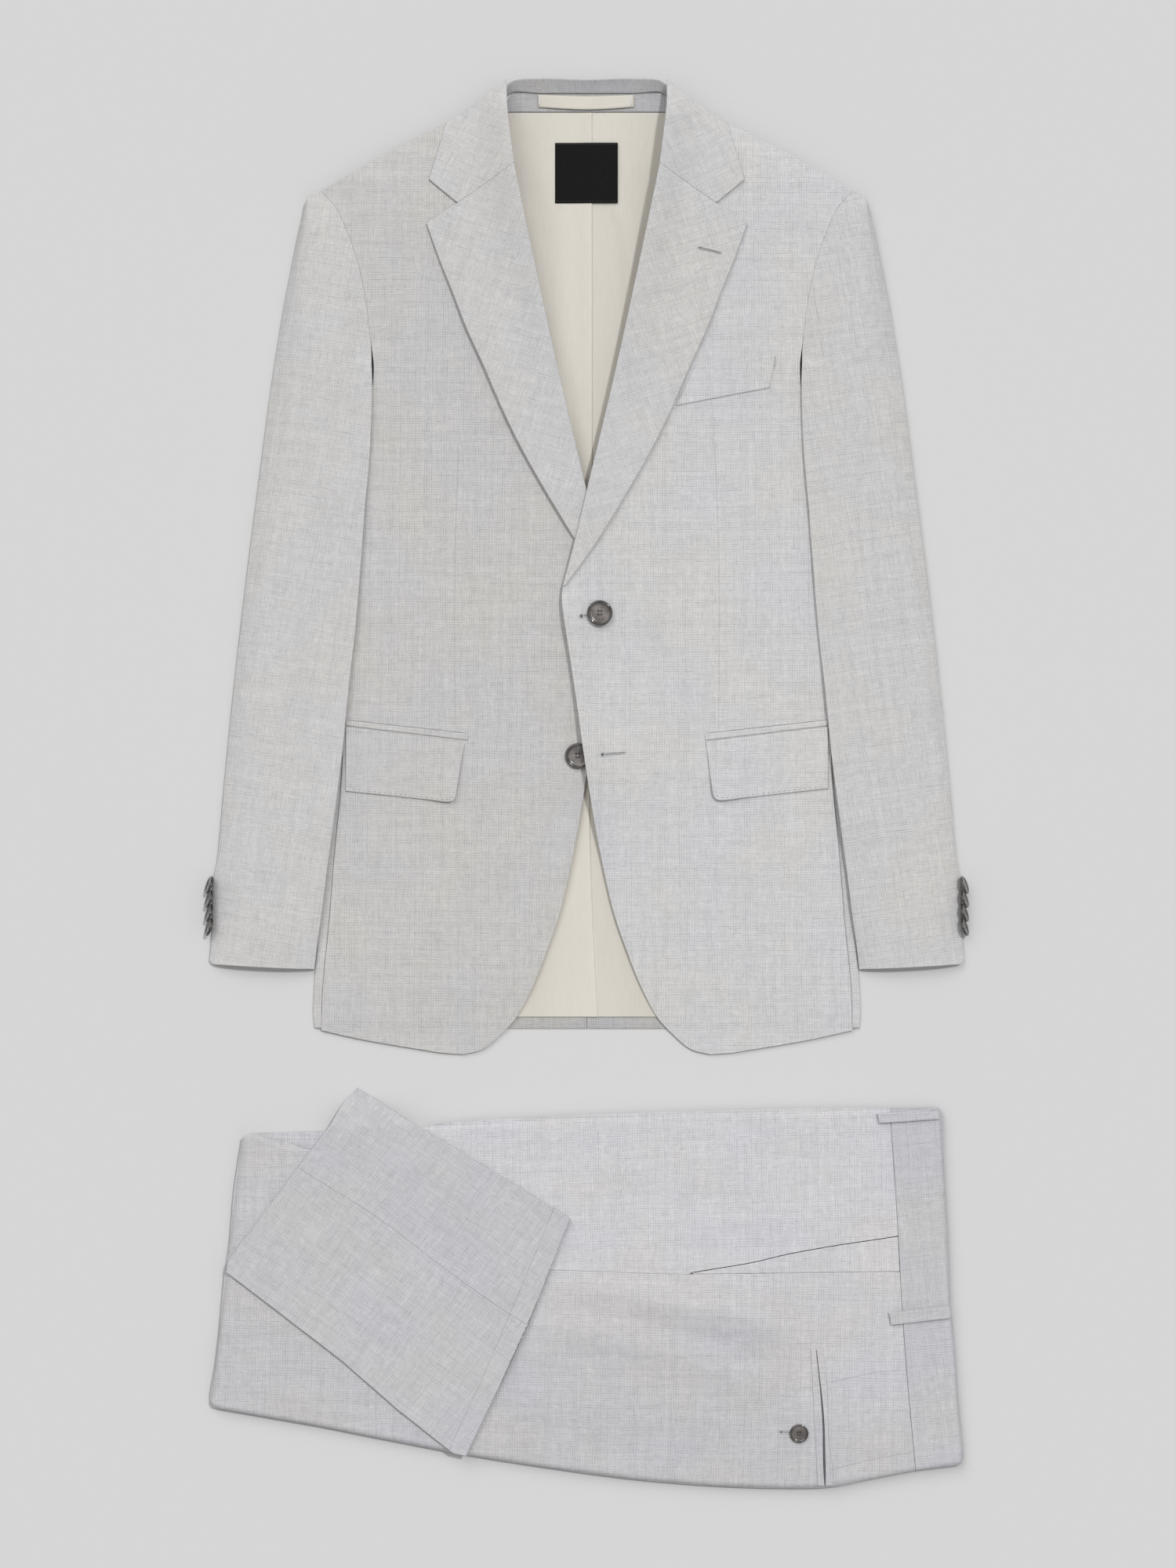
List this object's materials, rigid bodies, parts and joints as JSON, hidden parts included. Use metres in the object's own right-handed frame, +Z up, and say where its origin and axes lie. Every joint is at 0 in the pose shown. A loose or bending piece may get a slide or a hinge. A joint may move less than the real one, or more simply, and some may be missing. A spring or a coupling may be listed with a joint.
{
  "type": "two-piece suit laid flat",
  "caption": "Single-breasted suit jacket with peak lapels and folded matching trousers, laid flat in light micro-check wool.",
  "frame": {"origin": "centre of the suit's outline on the surface it lies on", "axes": "+Z up from the surface, +Y towards the jacket's collar, +X towards the trousers' waistband and the wearer's left side of the jacket"},
  "size_m": [0.6126, 1.1307, 0.0301],
  "materials": {
    "jacket_wool": "light grey micro-check summer wool, matt",
    "trouser_wool": "light grey micro-check summer wool, matt",
    "lining": "cream satin lining with a soft sheen",
    "label": "bare black woven label",
    "buttons": "polished grey-brown horn"
  },
  "bodies": {
    "root": {"back_left": "jacket_wool", "back_lining_left": "lining", "back_lining_right": "lining", "back_pocket_jet_inner": "trouser_wool", "back_pocket_jet_outer": "trouser_wool", "back_right": "jacket_wool", "belt_loop_front": "trouser_wool", "belt_loop_side": "trouser_wool", "chest_welt": "jacket_wool", "collar_left": "jacket_wool", "collar_right": "jacket_wool", "collar_stand": "jacket_wool", "cuff_button_1_left": "buttons", "cuff_button_1_right": "buttons", "cuff_button_2_left": "buttons", "cuff_button_2_right": "buttons", "cuff_button_3_left": "buttons", "cuff_button_3_right": "buttons", "cuff_button_4_left": "buttons", "cuff_button_4_right": "buttons", "folded_leg_back": "trouser_wool", "folded_leg_front": "trouser_wool", "front_button_lower": "buttons", "front_button_upper": "buttons", "front_left": "jacket_wool", "front_right": "jacket_wool", "hanger_loop": "lining", "lapel_left": "jacket_wool", "lapel_right": "jacket_wool", "neck_facing": "jacket_wool", "neck_label": "label", "pocket_button": "buttons", "pocket_facing": "trouser_wool", "pocket_flap_left": "jacket_wool", "pocket_flap_right": "jacket_wool", "pocket_jet_left": "jacket_wool", "pocket_jet_right": "jacket_wool", "side_panel_left": "jacket_wool", "side_panel_right": "jacket_wool", "top_sleeve_left": "jacket_wool", "top_sleeve_right": "jacket_wool", "trouser_back": "trouser_wool", "trouser_front": "trouser_wool", "trouser_pile": "trouser_wool", "under_sleeve_left": "jacket_wool", "under_sleeve_right": "jacket_wool", "waistband": "trouser_wool"}
  },
  "joints": []
}
